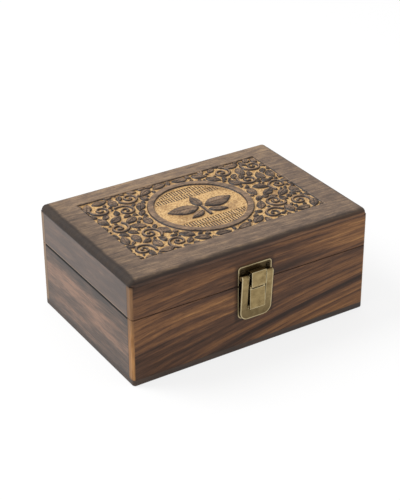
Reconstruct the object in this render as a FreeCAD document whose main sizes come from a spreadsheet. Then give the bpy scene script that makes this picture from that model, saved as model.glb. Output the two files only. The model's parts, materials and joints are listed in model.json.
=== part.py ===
import FreeCAD, Part
import math
import os
import re
import Sketcher

# Carved wooden box with a hinged lid, six compartments and a brass draw latch.
# Millimetres. Origin at the centre of the underside, +X along the front, front facing -Y, +Z up.

doc = FreeCAD.newDocument("CarvedBox")

# Driving sizes
SIZES = {
    # box
    "box_length": 240.0,
    "box_depth": 163.0,
    "base_height": 65.0,
    "lid_height": 36.7,
    "seam_gap": 0.3,
    "wall": 7.0,
    "bottom_thickness": 6.0,
    "top_thickness": 6.0,
    "corner_round": 3.0,
    "top_round": 5.0,
    "bottom_round": 1.5,
    "seam_ease": 0.6,
    # dividers
    "divider_thickness": 4.0,
    "divider_height": 52.0,
    "halving_clearance": 0.1,
    # carved panel
    "panel_length": 188.0,
    "panel_width": 115.0,
    "panel_shift": 3.5,
    "carve_depth": 2.0,
    "ring_outer_radius": 47.5,
    "ring_inner_radius": 41.5,
    "relief_drop": 0.2,
    "vine_leaf_length": 15.0,
    "vine_leaf_width": 8.0,
    "curl_radius": 7.2,
    "curl_width": 2.2,
    "sprig_leaf_length": 30.0,
    "sprig_leaf_width": 15.0,
    "sprig_leaf_reach": 18.0,
    "bud_length": 20.0,
    "bud_width": 9.0,
    "bud_rise": 9.0,
    "low_leaf_length": 18.0,
    "low_leaf_width": 7.5,
    "low_leaf_reach": 10.5,
    "low_leaf_drop": 13.0,
    "stem_width": 2.4,
    "stem_top_drop": 3.0,
    "stem_end_drop": 17.0,
    # latch plates
    "latch_offset": 0.4,
    "plate_width": 34.2,
    "plate_thickness": 0.9,
    "plate_margin": 0.5,
    "catch_plate_height": 17.6,
    "catch_plate_round": 3.0,
    "base_plate_height": 32.2,
    "base_plate_round": 5.0,
    "side_clearance": 0.3,
    # lever
    "pivot_stand": 3.5,
    "pivot_rise": 8.6,
    "arm_head_radius": 2.2,
    "arm_thickness": 1.3,
    "lever_width": 32.0,
    "lever_bend_drop": 24.0,
    "lever_bend_stand": 3.2,
    "lever_tip_drop": 33.8,
    "lever_tip_stand": 2.7,
    "lever_tip_round": 8.2,
    "lever_slot_drop": 20.0,
    "thumb_pad_width": 15.4,
    "thumb_pad_top_drop": 3.2,
    "thumb_pad_bottom_drop": 23.0,
    "thumb_pad_stand": 5.6,
    "thumb_pad_thickness": 3.0,
    "ear_thickness": 0.8,
    "ear_tip_radius": 1.6,
    "ear_root_top_drop": 3.0,
    "ear_root_bottom_drop": 15.0,
    "rivet_radius": 0.9,
    "rivet_reach": 4.0,
    "rivet_head_radius": 1.4,
    "rivet_head_thickness": 0.25,
    # tongue and catch
    "tongue_pivot_stand": 4.8,
    "tongue_pivot_drop": 1.6,
    "tongue_knuckle_radius": 1.15,
    "tongue_pin_radius": 0.6,
    "lever_knuckle_length": 1.9,
    "tongue_width": 14.6,
    "tongue_wall": 1.0,
    "tongue_stand": 7.4,
    "tongue_rise": 13.8,
    "tongue_back_stand": 1.4,
    "hook_clearance": 0.4,
    "catch_width": 11.0,
    "catch_stand": 2.9,
    "catch_lip_thickness": 1.0,
    "catch_root_rise": 4.0,
    "catch_shelf_rise": 9.0,
    # hinges
    "hinge_inset": 50.0,
    "hinge_width": 32.0,
    "leaf_plate_height": 15.0,
    "leaf_plate_thickness": 1.1,
    "barrel_radius": 2.0,
    "barrel_clearance": 0.3,
    "middle_knuckle_length": 11.0,
    "hinge_pin_radius": 0.9,
    "stop_heel_radius": 2.9,
    "stop_heel_drop": 0.2,
    "stop_heel_thickness": 1.0,
    "running_clearance": 0.05,
    # screws
    "screw_radius": 1.0,
    "screw_length": 5.5,
    "screw_head_radius": 2.1,
    "screw_head_height": 1.0,
    "screw_slot_width": 0.5,
    "screw_slot_depth": 0.4,
    "screw_hole_clearance": 0.05,
    "latch_screw_spread": 26.0,
    "catch_screw_rise": 13.6,
    "base_screw_drop": 18.0,
    "hinge_screw_spread": 20.0,
    "hinge_screw_offset": 9.0,
}

sheet = doc.addObject("Spreadsheet::Sheet", "Size")
for row, (name, size) in enumerate(SIZES.items(), start=1):
    sheet.set(f"A{row}", name)
    sheet.set(f"B{row}", str(size))
    sheet.setAlias(f"B{row}", name)
doc.recompute()

# Shared places, as formulas of the driving sizes
HALF_LENGTH = "box_length / 2"
HALF_DEPTH = "box_depth / 2"
LID_BOTTOM = "(base_height + seam_gap)"
LID_TOP_SEAT = "(base_height + seam_gap + lid_height - top_thickness)"
INNER_LENGTH = "(box_length - 2 * wall)"
INNER_DEPTH = "(box_depth - 2 * wall)"
CROSS_PLACE = "((box_length - 2 * wall + divider_thickness) / 6)"
PAD_HALF = "thumb_pad_width / 2"
EAR_INNER = "(thumb_pad_width / 2 + side_clearance)"
ARM_INNER = "(thumb_pad_width / 2 + 2 * side_clearance + ear_thickness)"
LEVER_KNUCKLE_INNER = "(thumb_pad_width / 2 - lever_knuckle_length)"
TONGUE_KNUCKLE_HALF = "(thumb_pad_width / 2 - lever_knuckle_length - side_clearance)"
PIVOT = ("-pivot_stand", "pivot_rise")
TONGUE_PIVOT = ("-tongue_pivot_stand", "-tongue_pivot_drop")
TONGUE_BORE = "(tongue_pin_radius + running_clearance)"
HINGE_HEIGHT = "(base_height + seam_gap / 2)"
HINGE_STAND = "(barrel_radius + barrel_clearance)"
SCREW_HOLE = "(screw_radius + screw_hole_clearance)"

NODES = []


def bound(formula):
    """The formula with each name of the sheet reading its cell."""
    return re.sub(r"[a-z_]+", lambda m: "Size." + m[0] if m[0] in SIZES else m[0], formula)


def value(formula):
    return float(sheet.evalExpression(bound(formula).replace("Size.", "")))


def place(obj, x="0", y="0", z="0"):
    """Binds the position of an object to the sheet."""
    for axis, formula in zip("xyz", (x, y, z)):
        obj.setExpression(f"Placement.Base.{axis}", bound(formula))


def new_body(label, x="0", y="0", z="0"):
    body = doc.addObject("PartDesign::Body", label)
    body.Label = label
    place(body, x, y, z)
    NODES.append(body)
    return body


def new_sketch(body, role, offset="0"):
    """A sketch on a plane of the body's origin, moved along the plane's normal."""
    sketch = body.newObject("Sketcher::SketchObject", body.Name + "_sketch")
    plane = next(f for f in body.Origin.OriginFeatures if f.Role == role)
    sketch.AttachmentSupport = [(plane, "")]
    sketch.MapMode = "FlatFace"
    sketch.setExpression("AttachmentOffset.Base.z", bound(offset))
    return sketch


def fix_point(sketch, geometry, point, x, y):
    """Holds one point of a sketch at two bound distances from its origin."""
    for kind, formula in (("DistanceX", x), ("DistanceY", y)):
        held = Sketcher.Constraint(kind, -1, 1, geometry, point, value(formula))
        number = sketch.addConstraint(held)
        sketch.setExpression(f"Constraints[{number}]", bound(formula))


def polygon(sketch, corners):
    """A closed outline of straight edges through bound corners."""
    spots = [FreeCAD.Vector(value(x), value(y), 0) for x, y in corners]
    count = len(spots)
    lines = []
    for i in range(count):
        lines.append(sketch.addGeometry(Part.LineSegment(spots[i], spots[(i + 1) % count])))
    for i in range(count):
        sketch.addConstraint(Sketcher.Constraint("Coincident", lines[i], 2, lines[(i + 1) % count], 1))
    for line, (x, y) in zip(lines, corners):
        fix_point(sketch, line, 1, x, y)


def rectangle(sketch, left, right, low, high):
    polygon(sketch, [(left, low), (right, low), (right, high), (left, high)])


def circle(sketch, x, y, radius):
    spot = FreeCAD.Vector(value(x), value(y), 0)
    ring = sketch.addGeometry(Part.Circle(spot, FreeCAD.Vector(0, 0, 1), value(radius)))
    fix_point(sketch, ring, 3, x, y)
    number = sketch.addConstraint(Sketcher.Constraint("Radius", ring, value(radius)))
    sketch.setExpression(f"Constraints[{number}]", bound(radius))


def lens(sketch, x, y, half_length, half_width, lean=0):
    """A leaf outline: two equal arcs that meet at the ends of its long axis, which leans in degrees."""
    radius = f"(({half_length})^2 + ({half_width})^2) / (2 * {half_width})"
    long_half, wide_half, arc_radius = value(half_length), value(half_width), value(radius)
    sweep = math.asin(long_half / arc_radius)
    middle = FreeCAD.Vector(value(x), value(y), 0)
    run = f"{half_length} * cos({lean} deg)"
    rise = f"{half_length} * sin({lean} deg)"
    ends = [(f"{x} - {run}", f"{y} - {rise}"), (f"{x} + {run}", f"{y} + {rise}")]
    for quarter_turn, (start, end) in ((-90, (0, 1)), (90, (1, 0))):
        crown = math.radians(lean + quarter_turn)
        out = FreeCAD.Vector(math.cos(crown), math.sin(crown), 0)
        centre = middle - out * (arc_radius - wide_half)
        whole = Part.Circle(centre, FreeCAD.Vector(0, 0, 1), arc_radius)
        arc = sketch.addGeometry(Part.ArcOfCircle(whole, crown - sweep, crown + sweep))
        fix_point(sketch, arc, 1, *ends[start])
        fix_point(sketch, arc, 2, *ends[end])
        number = sketch.addConstraint(Sketcher.Constraint("Radius", arc, arc_radius))
        sketch.setExpression(f"Constraints[{number}]", bound(radius))


def grow(body, sketch, length, both_ways=False):
    """A pad of the sketch along its normal, or half of it each way."""
    pad = body.newObject("PartDesign::Pad", body.Name + "_pad")
    pad.Profile = sketch
    pad.SideType = "Symmetric" if both_ways else "One side"
    pad.setExpression("Length", bound(length))
    doc.recompute()
    return pad


def cut(body, sketch, depth, along_normal=False, both_ways=False):
    """A pocket of the sketch, against its normal unless told otherwise."""
    before = body.Shape.Volume
    pocket = body.newObject("PartDesign::Pocket", body.Name + "_pocket")
    pocket.Profile = sketch
    pocket.SideType = "Symmetric" if both_ways else "One side"
    pocket.Reversed = along_normal
    pocket.setExpression("Length", bound(depth))
    doc.recompute()
    if not body.Shape.Volume < before:
        raise RuntimeError(f"{pocket.Name} cuts nothing")
    return pocket


def round_edges(body, radius, wanted):
    """A fillet of the edges whose middle point and direction the test accepts."""
    feature = body.Tip
    names = []
    for number, edge in enumerate(feature.Shape.Edges, start=1):
        middle = edge.valueAt((edge.FirstParameter + edge.LastParameter) / 2)
        along = edge.tangentAt((edge.FirstParameter + edge.LastParameter) / 2)
        if wanted(middle, along):
            names.append(f"Edge{number}")
    fillet = body.newObject("PartDesign::Fillet", body.Name + "_fillet")
    fillet.Base = (feature, names)
    fillet.setExpression("Radius", bound(radius))
    doc.recompute()
    return fillet


NEAR = 1e-4


def same(a, b):
    return abs(a - b) < NEAR


# Boards of the box


def long_board(label, side, bottom, height, seam_at_top):
    """Front (side -1) or back (side +1) board. Its outer face is at its own y = 0."""
    body = new_body(label, "0", f"{side} * {HALF_DEPTH}", bottom)
    sketch = new_sketch(body, "XY_Plane")
    inner = f"{-side} * wall"
    low, high = (inner, "0") if side > 0 else ("0", inner)
    rectangle(sketch, f"-{HALF_LENGTH}", HALF_LENGTH, low, high)
    grow(body, sketch, height)
    round_edges(body, "corner_round", lambda p, d: same(abs(d.z), 1) and same(p.y, 0))
    level = value(height) if seam_at_top else 0.0
    depth = value("wall")
    round_edges(body, "seam_ease", lambda p, d: same(p.z, level) and not same(abs(p.y), depth))
    return body


def side_board(label, side, bottom, height, seam_at_top):
    """Left (side -1) or right (side +1) board, between the long ones. Outer face at its own x = 0."""
    body = new_body(label, f"{side} * {HALF_LENGTH}", "0", bottom)
    sketch = new_sketch(body, "XY_Plane")
    inner = f"{-side} * wall"
    low, high = (inner, "0") if side > 0 else ("0", inner)
    rectangle(sketch, low, high, f"-{INNER_DEPTH} / 2", f"{INNER_DEPTH} / 2")
    grow(body, sketch, height)
    level = value(height) if seam_at_top else 0.0
    round_edges(body, "seam_ease", lambda p, d: same(p.z, level) and same(p.x, 0))
    return body


def drill(body, spots, radius, depth, outer_face_at_front):
    """Blind round holes from the outer face at y = 0, along Y."""
    sketch = new_sketch(body, "XZ_Plane")
    for x, z in spots:
        circle(sketch, x, z, radius)
    return cut(body, sketch, depth, along_normal=not outer_face_at_front)


def full_board(label, bottom, thickness):
    body = new_body(label, "0", "0", bottom)
    sketch = new_sketch(body, "XY_Plane")
    rectangle(sketch, f"-{HALF_LENGTH}", HALF_LENGTH, f"-{HALF_DEPTH}", HALF_DEPTH)
    grow(body, sketch, thickness)
    return body


def make_bottom_board():
    body = full_board("bottom_board", "0", "bottom_thickness")
    round_edges(body, "corner_round", lambda p, d: same(abs(d.z), 1))
    round_edges(body, "bottom_round", lambda p, d: same(p.z, 0))


# Main shapes of the carving's left half. The right half is the same, turned half a turn about the centre.
# Places are shares of the panel's half sizes from its centre, leans are in degrees.
# Leaves of one layer stand well apart from each other.
LEAF_LAYERS = (
    (
        (-0.94, 0.33, 100),
        (-0.94, -0.35, 80),
        (-0.70, -0.05, 150),
        (-0.49, 0.47, 60),
        (-0.68, 0.80, 90),
        (-0.31, 0.84, 30),
        (-0.71, -0.66, 90),
        (-0.53, -0.38, 115),
        (-0.31, -0.87, 150),
    ),
    (
        (-0.81, 0.30, 30),
        (-0.83, -0.38, 90),
        (-0.57, 0.03, 90),
        (-0.94, 0.84, 60),
        (-0.13, 0.91, 12),
        (-0.70, -0.90, 0),
        (-0.40, -0.66, 135),
        (-0.10, -0.91, 170),
    ),
    (
        (-0.70, 0.16, 30),
        (-0.79, 0.90, 0),
    ),
)
CURLS = (
    (-0.85, 0.66),
    (-0.64, 0.47),
    (-0.87, 0.02),
    (-0.68, -0.35),
    (-0.88, -0.73),
    (-0.54, -0.78),
    (-0.50, 0.80),
)
HALVES = (1, -1)
SPRIG_LEAN = 8
LOW_LEAF_LEAN = -25
CARVE_FLOOR = "top_thickness - carve_depth"
RELIEF_HEIGHT = "carve_depth - relief_drop"


def panel_places(across, up):
    """The point at these shares of the carved panel's half sizes, and the same point turned half a turn."""
    return [
        (f"{half * across} * panel_length / 2", f"panel_shift + {half * up} * panel_width / 2")
        for half in HALVES
    ]


def make_top_board():
    """Lid top with a rounded edge and a panel carved round a raised ring, a sprig and foliage."""
    body = full_board("lid_top_board", LID_TOP_SEAT, "top_thickness")
    round_edges(body, "top_round", lambda p, d: same(abs(d.z), 1))
    top = value("top_thickness")
    round_edges(body, "top_round", lambda p, d: same(p.z, top))
    panel = new_sketch(body, "XY_Plane", "top_thickness")
    half = "panel_length / 2"
    rectangle(panel, f"-{half}", half, "panel_shift - panel_width / 2", "panel_shift + panel_width / 2")
    circle(panel, "0", "panel_shift", "ring_outer_radius")
    cut(body, panel, "carve_depth")
    medallion = new_sketch(body, "XY_Plane", "top_thickness")
    circle(medallion, "0", "panel_shift", "ring_inner_radius")
    draw_sprig(medallion)
    cut(body, medallion, "carve_depth")
    for layer in LEAF_LAYERS:
        leaves = new_sketch(body, "XY_Plane", CARVE_FLOOR)
        for across, up, lean in layer:
            for x, y in panel_places(across, up):
                lens(leaves, x, y, "vine_leaf_length / 2", "vine_leaf_width / 2", lean)
        grow(body, leaves, RELIEF_HEIGHT)
    curls = new_sketch(body, "XY_Plane", CARVE_FLOOR)
    for across, up in CURLS:
        for x, y in panel_places(across, up):
            circle(curls, x, y, "curl_radius + curl_width / 2")
            circle(curls, x, y, "curl_radius - curl_width / 2")
    grow(body, curls, RELIEF_HEIGHT)


def draw_sprig(sketch):
    """Two big leaves, an upright bud, two low leaves and a stem."""
    for side in (-1, 1):
        big = (f"{side} * sprig_leaf_reach", "panel_shift")
        lens(sketch, *big, "sprig_leaf_length / 2", "sprig_leaf_width / 2", side * SPRIG_LEAN)
        low = (f"{side} * low_leaf_reach", "panel_shift - low_leaf_drop")
        lens(sketch, *low, "low_leaf_length / 2", "low_leaf_width / 2", side * LOW_LEAF_LEAN)
    lens(sketch, "0", "panel_shift + bud_rise", "bud_length / 2", "bud_width / 2", 90)
    half = "stem_width / 2"
    rectangle(sketch, f"-{half}", half, "panel_shift - stem_end_drop", "panel_shift - stem_top_drop")


LATCH_X = ("latch_offset - latch_screw_spread / 2", "latch_offset + latch_screw_spread / 2")
HINGE_REACH = f"({HALF_LENGTH} - hinge_inset)"
HINGE_X = [
    f"{side} * {HINGE_REACH} + {end} * hinge_screw_spread / 2"
    for side in ("-1", "1")
    for end in ("-1", "1")
]
WOOD_DEPTH_LATCH = "screw_length - plate_thickness"
WOOD_DEPTH_HINGE = "screw_length - leaf_plate_thickness"


def make_base_boards():
    height = "base_height - bottom_thickness"
    front = long_board("base_front_board", -1, "bottom_thickness", height, True)
    holes = [(x, f"{height} - base_screw_drop") for x in LATCH_X]
    drill(front, holes, "screw_radius", WOOD_DEPTH_LATCH, True)
    back = long_board("base_back_board", 1, "bottom_thickness", height, True)
    hinge_z = f"{HINGE_HEIGHT} - hinge_screw_offset - bottom_thickness"
    drill(back, [(x, hinge_z) for x in HINGE_X], "screw_radius", WOOD_DEPTH_HINGE, False)
    side_board("base_left_board", -1, "bottom_thickness", height, True)
    side_board("base_right_board", 1, "bottom_thickness", height, True)


def make_lid_boards():
    height = "lid_height - top_thickness"
    front = long_board("lid_front_board", -1, LID_BOTTOM, height, False)
    holes = [(x, "catch_screw_rise - seam_gap") for x in LATCH_X]
    drill(front, holes, "screw_radius", WOOD_DEPTH_LATCH, True)
    back = long_board("lid_back_board", 1, LID_BOTTOM, height, False)
    hinge_z = f"{HINGE_HEIGHT} + hinge_screw_offset - {LID_BOTTOM}"
    drill(back, [(x, hinge_z) for x in HINGE_X], "screw_radius", WOOD_DEPTH_HINGE, False)
    side_board("lid_left_board", -1, LID_BOTTOM, height, False)
    side_board("lid_right_board", 1, LID_BOTTOM, height, False)


def make_dividers():
    """Long divider notched from above, cross dividers notched from below: halved joints."""
    notch = "(divider_thickness / 2 + halving_clearance)"
    body = new_body("long_divider", "0", "0", "bottom_thickness")
    sketch = new_sketch(body, "XZ_Plane")
    rectangle(sketch, f"-{INNER_LENGTH} / 2", f"{INNER_LENGTH} / 2", "0", "divider_height")
    grow(body, sketch, "divider_thickness", both_ways=True)
    slots = new_sketch(body, "XZ_Plane")
    for side in ("-1", "1"):
        middle = f"{side} * {CROSS_PLACE}"
        rectangle(slots, f"{middle} - {notch}", f"{middle} + {notch}", "divider_height / 2", "divider_height")
    cut(body, slots, "2 * divider_thickness", both_ways=True)
    for label, side in (("cross_divider_left", "-1"), ("cross_divider_right", "1")):
        body = new_body(label, f"{side} * {CROSS_PLACE}", "0", "bottom_thickness")
        sketch = new_sketch(body, "YZ_Plane")
        rectangle(sketch, f"-{INNER_DEPTH} / 2", f"{INNER_DEPTH} / 2", "0", "divider_height")
        grow(body, sketch, "divider_thickness", both_ways=True)
        slot = new_sketch(body, "YZ_Plane")
        rectangle(slot, f"-{notch}", notch, "0", "divider_height / 2")
        cut(body, slot, "2 * divider_thickness", both_ways=True)


# Draw latch. Its pieces share an origin on the front face at the seam: own -Y forward, +Z up.


def latch_body(label):
    return new_body(label, "latch_offset", f"-{HALF_DEPTH}", "base_height")


def latch_plate(body, low, high, radius, round_at, hole_z):
    """Flat plate on the front face with two corners rounded and two screw holes."""
    sketch = new_sketch(body, "XZ_Plane")
    rectangle(sketch, "-plate_width / 2", "plate_width / 2", low, high)
    for side in ("-1", "1"):
        circle(sketch, f"{side} * latch_screw_spread / 2", hole_z, SCREW_HOLE)
    grow(body, sketch, "plate_thickness")
    level = value(round_at)
    half = value("plate_width / 2")
    round_edges(body, radius, lambda p, d: same(abs(d.y), 1) and same(abs(p.x), half) and same(p.z, level))


def side_pad(body, corners, inner, outer, mirrored=True):
    """Side outline grown in X from inner to outer, on both sides of the latch or on one."""
    for sign in ("1", "-1") if mirrored else ("1",):
        sketch = new_sketch(body, "YZ_Plane", inner if sign == "1" else f"-({outer})")
        polygon(sketch, corners)
        grow(body, sketch, f"{outer} - ({inner})")


def side_disc(body, spot, radius, inner, outer):
    for sign in ("1", "-1"):
        sketch = new_sketch(body, "YZ_Plane", inner if sign == "1" else f"-({outer})")
        circle(sketch, spot[0], spot[1], radius)
        grow(body, sketch, f"{outer} - ({inner})")


def side_bore(body, spot, radius, width):
    sketch = new_sketch(body, "YZ_Plane")
    circle(sketch, spot[0], spot[1], radius)
    cut(body, sketch, width, both_ways=True)


def make_catch_plate():
    """Upper plate on the lid, with an upturned lip that the hook grips."""
    body = latch_body("catch_plate")
    low = "(seam_gap + plate_margin)"
    high = f"({low} + catch_plate_height)"
    latch_plate(body, low, high, "catch_plate_round", high, "catch_screw_rise")
    tip = "(tongue_rise - tongue_wall - hook_clearance)"
    lip_back = "catch_lip_thickness - catch_stand"
    sketch = new_sketch(body, "YZ_Plane")
    polygon(sketch, [
        ("-plate_thickness / 2", "catch_root_rise"),
        ("-catch_stand", "catch_root_rise + catch_stand - plate_thickness"),
        ("-catch_stand", tip),
        (lip_back, tip),
        (lip_back, "catch_shelf_rise"),
        ("-plate_thickness / 2", "catch_shelf_rise"),
    ])
    grow(body, sketch, "catch_width", both_ways=True)


def make_latch_base_plate():
    """Lower plate on the base, with two ears that reach up past the seam to the lever's pivot."""
    body = latch_body("latch_base_plate")
    high = "-plate_margin"
    low = f"({high} - base_plate_height)"
    latch_plate(body, low, high, "base_plate_round", low, "-base_screw_drop")
    outer = f"{EAR_INNER} + ear_thickness"
    back = "ear_tip_radius - pivot_stand"
    side_pad(body, [
        ("-plate_thickness / 2", "-ear_root_bottom_drop"),
        ("-plate_thickness / 2", "-ear_root_top_drop"),
        (back, "plate_thickness - ear_root_top_drop"),
        (back, PIVOT[1]),
        ("-ear_tip_radius - pivot_stand", PIVOT[1]),
        ("-pivot_stand", "-ear_root_top_drop"),
    ], EAR_INNER, outer)
    side_disc(body, PIVOT, "ear_tip_radius", EAR_INNER, outer)
    side_bore(body, PIVOT, "rivet_radius", "plate_width")


def make_latch_lever():
    """U-shaped lever: two arms with round heads at the pivot, a bent foot, and a thumb pad with knuckles."""
    body = latch_body("latch_lever")
    front_top = "-pivot_stand - arm_head_radius"
    sketch = new_sketch(body, "YZ_Plane")
    polygon(sketch, [
        (front_top, PIVOT[1]),
        ("-lever_bend_stand", "-lever_bend_drop"),
        ("-lever_tip_stand", "-lever_tip_drop"),
        ("arm_thickness - lever_tip_stand", "-lever_tip_drop"),
        ("arm_thickness - lever_bend_stand", "-lever_bend_drop"),
        (f"{front_top} + arm_thickness", PIVOT[1]),
    ])
    grow(body, sketch, "lever_width", both_ways=True)
    level = value("-lever_tip_drop")
    half = value("lever_width / 2")
    round_edges(
        body, "lever_tip_round",
        lambda p, d: same(p.z, level) and same(abs(p.x), half) and same(abs(d.y), 1),
    )
    window = new_sketch(body, "XZ_Plane")
    rectangle(window, f"-{ARM_INNER}", ARM_INNER, "-lever_slot_drop", "pivot_rise + arm_head_radius")
    cut(body, window, "pivot_stand + 2 * arm_head_radius", along_normal=True)
    side_disc(body, PIVOT, "arm_head_radius", ARM_INNER, "lever_width / 2")
    pad = new_sketch(body, "YZ_Plane")
    polygon(pad, [
        ("-thumb_pad_stand", "-thumb_pad_bottom_drop"),
        ("thumb_pad_thickness - thumb_pad_stand", "-thumb_pad_bottom_drop"),
        ("thumb_pad_thickness - thumb_pad_stand", "-thumb_pad_top_drop"),
        ("-thumb_pad_stand", "-thumb_pad_top_drop"),
    ])
    grow(body, pad, "thumb_pad_width", both_ways=True)
    side_pad(body, [
        ("-tongue_pivot_stand - tongue_knuckle_radius / 2", "-thumb_pad_top_drop - tongue_knuckle_radius"),
        ("-tongue_pivot_stand + tongue_knuckle_radius", "-thumb_pad_top_drop - tongue_knuckle_radius"),
        ("-tongue_pivot_stand + tongue_knuckle_radius", TONGUE_PIVOT[1]),
        ("-tongue_pivot_stand - tongue_knuckle_radius / 2", TONGUE_PIVOT[1]),
    ], LEVER_KNUCKLE_INNER, PAD_HALF)
    side_disc(body, TONGUE_PIVOT, "tongue_knuckle_radius", LEVER_KNUCKLE_INNER, PAD_HALF)
    side_bore(body, TONGUE_PIVOT, "tongue_pin_radius", "thumb_pad_width")
    side_bore(body, PIVOT, "rivet_radius + running_clearance", f"2 * ({ARM_INNER} + rivet_reach)")


def make_latch_tongue():
    """Hook of bent strip: a knuckle on the pin, a bottom, a front and a top that hooks over the catch."""
    body = latch_body("latch_tongue")
    inner_front = "tongue_wall - tongue_stand"
    sketch = new_sketch(body, "YZ_Plane")
    polygon(sketch, [
        ("-tongue_pivot_stand", "0"),
        ("-tongue_stand", "0"),
        ("-tongue_stand", "tongue_rise"),
        ("-tongue_back_stand", "tongue_rise - tongue_wall / 2"),
        ("-tongue_back_stand", "tongue_rise - tongue_wall"),
        (inner_front, "tongue_rise - tongue_wall"),
        (inner_front, "tongue_wall"),
        ("-tongue_pivot_stand", "tongue_wall"),
    ])
    grow(body, sketch, "tongue_width", both_ways=True)
    neck = new_sketch(body, "YZ_Plane")
    polygon(neck, [
        ("-tongue_pivot_stand - tongue_knuckle_radius", TONGUE_PIVOT[1]),
        ("-tongue_pivot_stand - tongue_knuckle_radius", "tongue_wall / 2"),
        ("-tongue_pivot_stand", "tongue_wall"),
        ("-tongue_pivot_stand + tongue_knuckle_radius", "tongue_wall / 2"),
        ("-tongue_pivot_stand + tongue_knuckle_radius", TONGUE_PIVOT[1]),
    ])
    grow(body, neck, f"2 * {TONGUE_KNUCKLE_HALF}", both_ways=True)
    knuckle = new_sketch(body, "YZ_Plane")
    circle(knuckle, TONGUE_PIVOT[0], TONGUE_PIVOT[1], "tongue_knuckle_radius")
    grow(body, knuckle, f"2 * {TONGUE_KNUCKLE_HALF}", both_ways=True)
    side_bore(body, TONGUE_PIVOT, TONGUE_BORE, "tongue_width")


def make_tongue_pin():
    body = latch_body("tongue_pin")
    sketch = new_sketch(body, "YZ_Plane")
    circle(sketch, TONGUE_PIVOT[0], TONGUE_PIVOT[1], "tongue_pin_radius")
    grow(body, sketch, "thumb_pad_width", both_ways=True)


def make_lever_rivets():
    """Two rivets, headed on the inner side of the ears and free to turn in the arms."""
    body = latch_body("lever_rivets")
    side_disc(body, PIVOT, "rivet_head_radius", f"{EAR_INNER} - rivet_head_thickness", EAR_INNER)
    side_disc(body, PIVOT, "rivet_radius", EAR_INNER, f"{ARM_INNER} + rivet_reach - side_clearance")


# Butt hinges on the back face. Each has its own origin on its axis: own +Y away from the box, +Z up.


def hinge_bodies(name, side):
    spot = (f"{side} * {HINGE_REACH}", f"{HALF_DEPTH} + {HINGE_STAND}", HINGE_HEIGHT)
    make_hinge_leaf(new_body(f"hinge_{name}_base_leaf", *spot), "-1")
    make_hinge_leaf(new_body(f"hinge_{name}_lid_leaf", *spot), "1")
    pin = new_body(f"hinge_{name}_pin", *spot)
    sketch = new_sketch(pin, "YZ_Plane")
    circle(sketch, "0", "0", "hinge_pin_radius")
    grow(pin, sketch, "hinge_width", both_ways=True)


def make_hinge_leaf(body, up):
    """A leaf with the two outer knuckles (up -1) or with the middle knuckle and its stop heel (up +1)."""
    wood = f"-{HINGE_STAND}"
    face = f"(leaf_plate_thickness - {HINGE_STAND})"
    half_middle = "middle_knuckle_length / 2"
    far = f"{up} * (barrel_clearance + leaf_plate_height)"
    clear = f"{up} * (stop_heel_radius + barrel_clearance)"
    near = f"{up} * barrel_clearance"
    plate = new_sketch(body, "XZ_Plane", f"{HINGE_STAND} - leaf_plate_thickness")
    rectangle(plate, "-hinge_width / 2", "hinge_width / 2", *sorted((far, clear), key=value))
    for end in ("-1", "1"):
        circle(plate, f"{end} * hinge_screw_spread / 2", f"{up} * hinge_screw_offset", SCREW_HOLE)
    grow(body, plate, "leaf_plate_thickness")
    strip = [(wood, clear), (face, clear), (face, near), (wood, near)]
    if up == "-1":
        spans = [(f"{half_middle} + barrel_clearance", "hinge_width / 2")]
        bore = "hinge_pin_radius"
    else:
        spans = [("-" + half_middle, half_middle)]
        bore = "hinge_pin_radius + running_clearance"
    for inner, outer in spans:
        side_pad(body, strip, inner, outer, mirrored=up == "-1")
        for sign in ("1", "-1") if up == "-1" else ("1",):
            ring = new_sketch(body, "YZ_Plane", inner if sign == "1" else f"-({outer})")
            circle(ring, "0", "0", "barrel_radius")
            grow(body, ring, f"{outer} - ({inner})")
    if up == "1":
        heel = new_sketch(body, "YZ_Plane")
        rectangle(heel, "barrel_radius / 2", "stop_heel_radius", "-stop_heel_drop", "stop_heel_thickness")
        grow(body, heel, "middle_knuckle_length", both_ways=True)
    bore_sketch = new_sketch(body, "YZ_Plane")
    circle(bore_sketch, "0", "0", bore)
    cut(body, bore_sketch, "2 * hinge_width", both_ways=True)


# Screws: a round head with a slot, a plain shank


def screw(label, x, z, seat, out):
    """One screw along Y. Its head stands out of the seat towards out (-1 front, +1 back)."""
    turn = FreeCAD.Rotation(FreeCAD.Vector(1, 0, 0), 90 if out < 0 else -90)
    shank = doc.addObject("Part::Cylinder", label + "_shank")
    shank.setExpression("Radius", bound("screw_radius"))
    shank.setExpression("Height", bound("screw_length"))
    shank.Placement.Rotation = turn
    place(shank, x, f"{seat} - {out} * screw_length", z)
    head = doc.addObject("Part::Cone", label + "_head")
    head.setExpression("Radius1", bound("screw_head_radius"))
    head.setExpression("Radius2", bound("screw_head_radius - screw_head_height / 2"))
    head.setExpression("Height", bound("screw_head_height"))
    head.Placement.Rotation = turn
    place(head, x, seat, z)
    whole = doc.addObject("Part::Fuse", label + "_whole")
    whole.Base = shank
    whole.Tool = head
    slot = doc.addObject("Part::Box", label + "_slot")
    slot.setExpression("Length", bound("2 * screw_head_radius"))
    slot.setExpression("Width", bound("2 * screw_slot_depth"))
    slot.setExpression("Height", bound("screw_slot_width"))
    place(
        slot,
        f"{x} - screw_head_radius",
        f"{seat} + {out} * screw_head_height - screw_slot_depth",
        f"{z} - screw_slot_width / 2",
    )
    done = doc.addObject("Part::Cut", label)
    done.Base = whole
    done.Tool = slot
    return done


def screw_group(label, spots, seat, out):
    group = doc.addObject("Part::Compound", label)
    group.Label = label
    group.Links = [screw(f"{label}_{i}", x, z, seat, out) for i, (x, z) in enumerate(spots, start=1)]
    NODES.append(group)


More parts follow.
